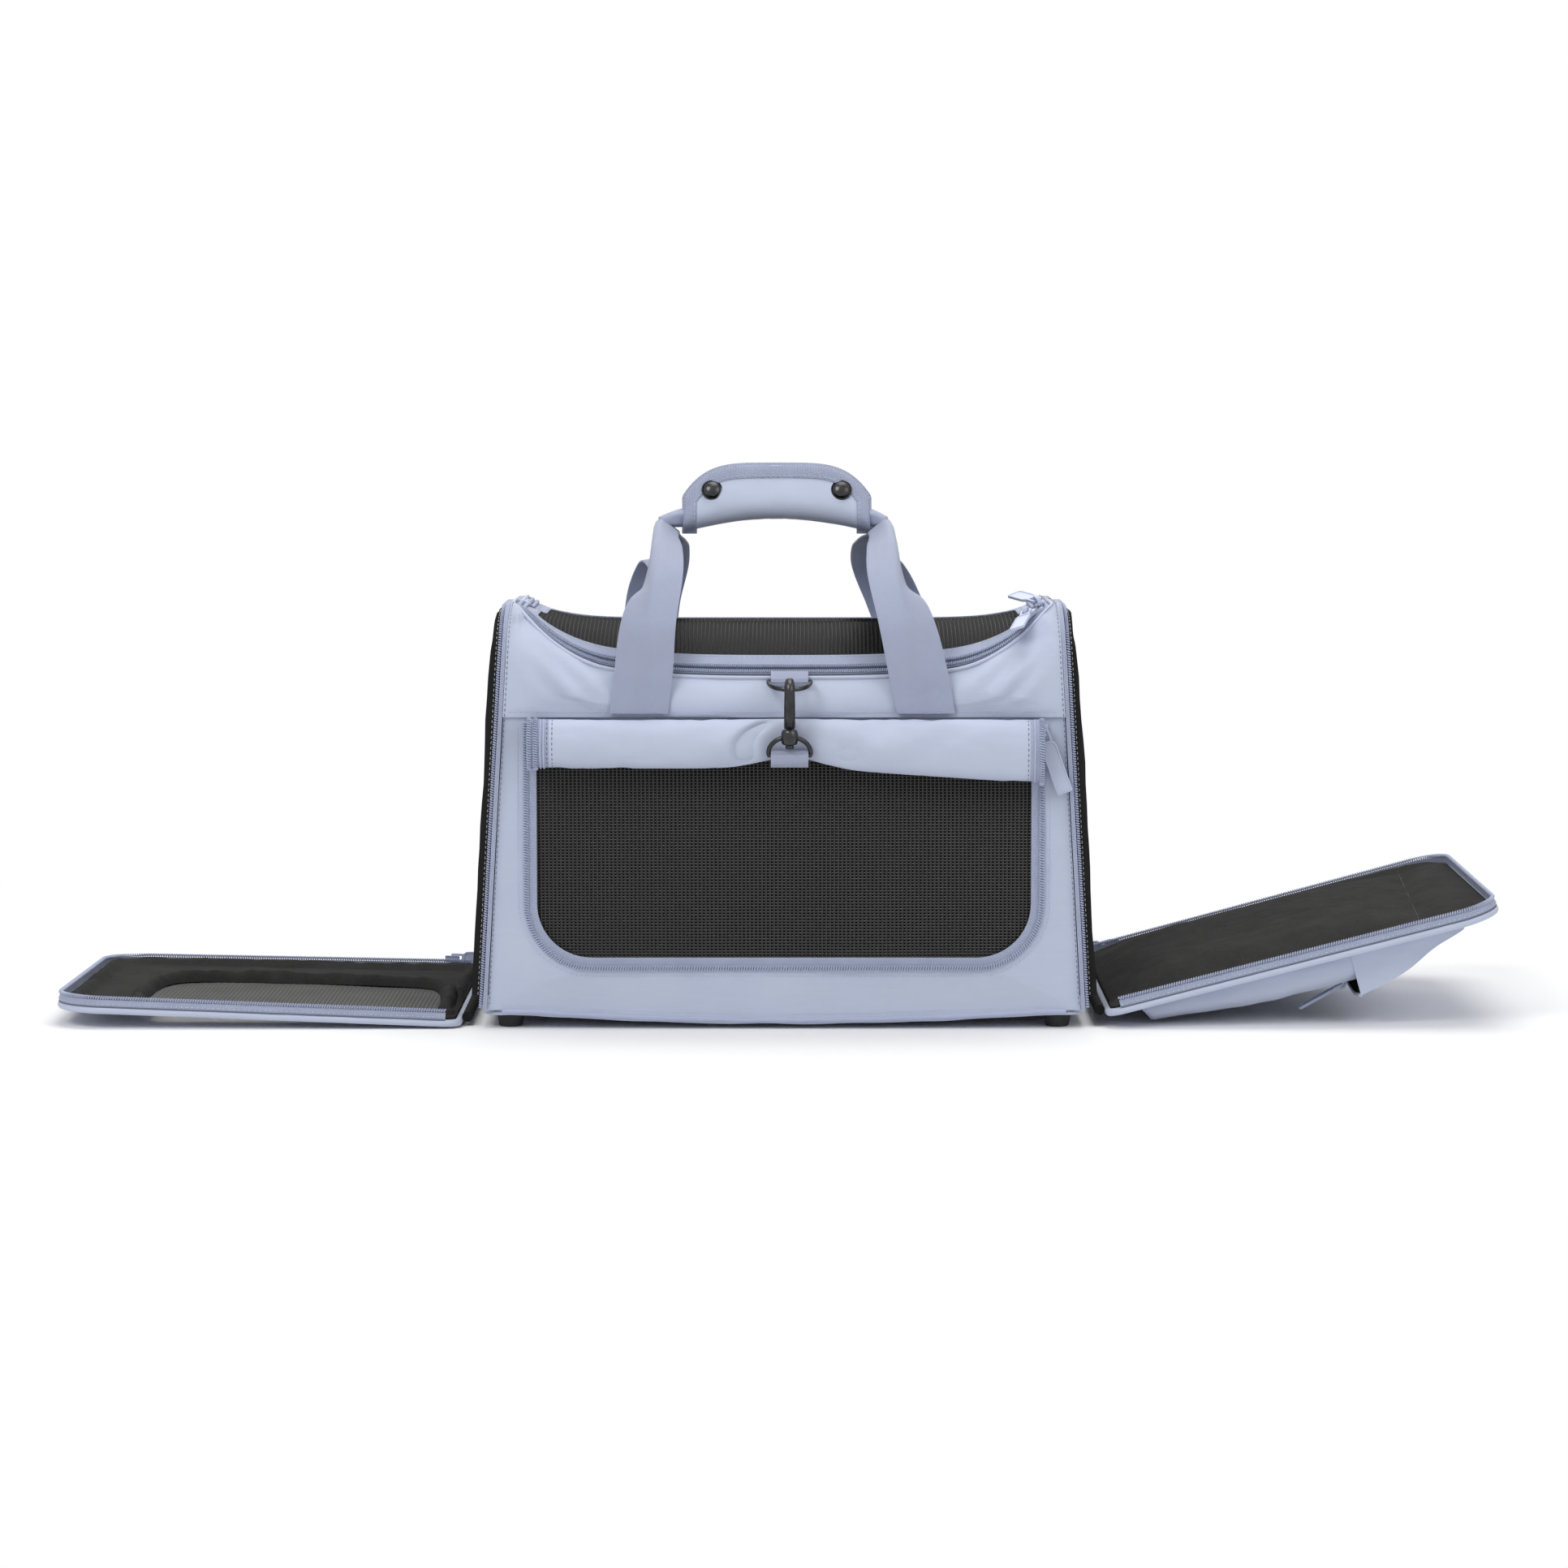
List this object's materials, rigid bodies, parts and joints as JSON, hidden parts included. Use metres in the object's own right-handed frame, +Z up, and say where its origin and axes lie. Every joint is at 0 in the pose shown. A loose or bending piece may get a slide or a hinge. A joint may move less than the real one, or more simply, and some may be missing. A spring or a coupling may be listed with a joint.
{
  "type": "soft-sided pet carrier",
  "caption": "Soft pet carrier with let-down end doors, a zipped mesh lid, a mesh front window under a rolled curtain held by a swivel snap hook, and a padded strap handle.",
  "frame": {"origin": "on the floor plane under the feet, at the middle of the overall length and depth", "axes": "+X along the carrier's length to the right door, +Y to the back wall away from the window, +Z up"},
  "size_m": [1.049, 0.3201, 0.404],
  "materials": {
    "body_fabric": "satin woven nylon, periwinkle blue",
    "webbing": "ribbed woven webbing, periwinkle blue",
    "mesh": "black knitted mesh",
    "lining": "black brushed lining",
    "zip": "coil zip on woven tape, periwinkle blue",
    "moulded": "moulded sliders and pulls, periwinkle blue",
    "hardware": "gunmetal plated, polished",
    "rubber": "black moulded rubber",
    "spring_wire": "plain steel wire"
  },
  "bodies": {
    "base": {"back_panel": "body_fabric", "base_tray": "body_fabric", "curtain_roll": "body_fabric", "floor_mat": "lining", "foot_fl": "rubber", "foot_fr": "rubber", "foot_rl": "rubber", "foot_rr": "rubber", "front_panel": "body_fabric", "front_slider": "moulded", "left_binding": "lining", "left_body_zip": "zip", "left_hinge_fold": "lining", "left_hoop": "spring_wire", "lower_tab": "webbing", "right_binding": "lining", "right_body_zip": "zip", "right_hinge_fold": "lining", "right_hoop": "spring_wire", "roof_panel": "body_fabric", "roof_zip": "zip", "strap_front_left": "webbing", "strap_front_right": "webbing", "strap_rear_left": "webbing", "strap_rear_right": "webbing", "swivel_loop": "hardware", "upper_tab": "webbing", "window_net": "mesh", "window_zip": "zip"},
    "handle": {"grip": "body_fabric", "grip_stud_front_left": "hardware", "grip_stud_front_right": "hardware", "grip_stud_rear_left": "hardware", "grip_stud_rear_right": "hardware"},
    "lid": {"lid_tape": "zip", "lid_net": "mesh", "lid_zip": "zip", "lid_slider_front": "moulded", "lid_slider_rear": "moulded"},
    "lid_front_pull": {"lid_pull_front": "moulded"},
    "lid_rear_pull": {"lid_pull_rear": "moulded"},
    "curtain_pull": {"front_pull": "moulded"},
    "ring": {"upper_ring": "hardware"},
    "snap_hook": {"hook": "hardware"},
    "snap_gate": {"gate": "hardware"},
    "left_door": {"left_door_shell": "body_fabric", "left_door_net": "mesh", "left_door_lining": "lining", "left_door_zip": "zip", "left_door_slider": "moulded"},
    "left_pull": {"left_door_pull": "moulded"},
    "right_door": {"right_door_shell": "body_fabric", "right_door_lining": "lining", "right_door_zip": "zip", "right_door_slider": "moulded", "pocket": "body_fabric"},
    "right_pull": {"right_door_pull": "moulded"},
    "flap": {"pocket_flap": "body_fabric"},
    "pocket_zip_slider": {"pocket_slider": "moulded"},
    "pocket_zip_pull": {"pocket_pull": "moulded"}
  },
  "joints": [
    {"name": "left_door_hinge", "type": "hinge", "parent": "base", "child": "left_door", "pos_m": [-0.2249, 0.0131, 0.0065], "axis": [0, 1, 0], "range_deg": [0, 91]},
    {"name": "right_door_hinge", "type": "hinge", "parent": "base", "child": "right_door", "pos_m": [0.2343, 0.0131, 0.0115], "axis": [0, -1, 0], "range_deg": [0, 77.9]},
    {"name": "lid_hinge", "type": "hinge", "parent": "base", "child": "lid", "pos_m": [0.0051, 0.1251, 0.3075], "axis": [-1, 0, 0], "range_deg": [0, 9]},
    {"name": "handle_lift", "type": "slide", "parent": "base", "child": "handle", "axis": [0, 0, 1], "range_m": [-0.05, 0], "stiffness_N_per_m": 60, "springref_m": 0.04, "deforming": ["strap_front_left", "strap_front_right", "strap_rear_left", "strap_rear_right"]},
    {"name": "curtain_pull_swing", "type": "hinge", "parent": "base", "child": "curtain_pull", "pos_m": [0.1911, -0.1313, 0.216], "axis": [-0.9397, 0, -0.342], "range_deg": [0, 80]},
    {"name": "lid_front_pull_swing", "type": "hinge", "parent": "lid", "child": "lid_front_pull", "pos_m": [0.18083, -0.09371, 0.30059], "axis": [-0.8742, 0.37, -0.3144], "range_deg": [0, 60]},
    {"name": "lid_rear_pull_swing", "type": "hinge", "parent": "lid", "child": "lid_rear_pull", "pos_m": [0.1895, -0.06893, 0.30692], "axis": [0.8546, 0.4226, 0.3019], "range_deg": [0, 60]},
    {"name": "ring_swing", "type": "hinge", "parent": "base", "child": "ring", "pos_m": [0.0091, -0.1244, 0.2517], "axis": [1, 0, 0], "range_deg": [0, 4]},
    {"name": "hook_swivel", "type": "hinge", "parent": "base", "child": "snap_hook", "pos_m": [0.0091, -0.1499, 0.2138], "axis": [0, 0, 1], "range_deg": [-12, 12]},
    {"name": "gate_hinge", "type": "hinge", "parent": "snap_hook", "child": "snap_gate", "pos_m": [0.0091, -0.1447, 0.226], "axis": [1, 0, 0], "range_deg": [0, 15], "stiffness_Nm_per_rad": 0.004, "springref_deg": -11.46},
    {"name": "left_pull_swing", "type": "hinge", "parent": "left_door", "child": "left_pull", "pos_m": [-0.25466, 0.1564, 0.0134], "axis": [0.0384, 0, 0.9993], "range_deg": [0, 80]},
    {"name": "right_pull_swing", "type": "hinge", "parent": "right_door", "child": "right_pull", "pos_m": [0.26172, 0.1564, 0.02496], "axis": [0.2639, 0, -0.9646], "range_deg": [0, 80]},
    {"name": "flap_hinge", "type": "hinge", "parent": "right_door", "child": "flap", "pos_m": [0.49491, 0.0131, 0.0745], "axis": [0, -1, 0], "range_deg": [0, 12], "stiffness_Nm_per_rad": 0.08, "springref_deg": -22.92},
    {"name": "pocket_slider_travel", "type": "slide", "parent": "right_door", "child": "pocket_zip_slider", "axis": [0, 1, 0], "range_m": [0, 0.17]},
    {"name": "pocket_pull_swing", "type": "hinge", "parent": "pocket_zip_slider", "child": "pocket_zip_pull", "pos_m": [0.41395, -0.0769, 0.0256], "axis": [0, -1, 0], "range_deg": [-12, 0]}
  ]
}
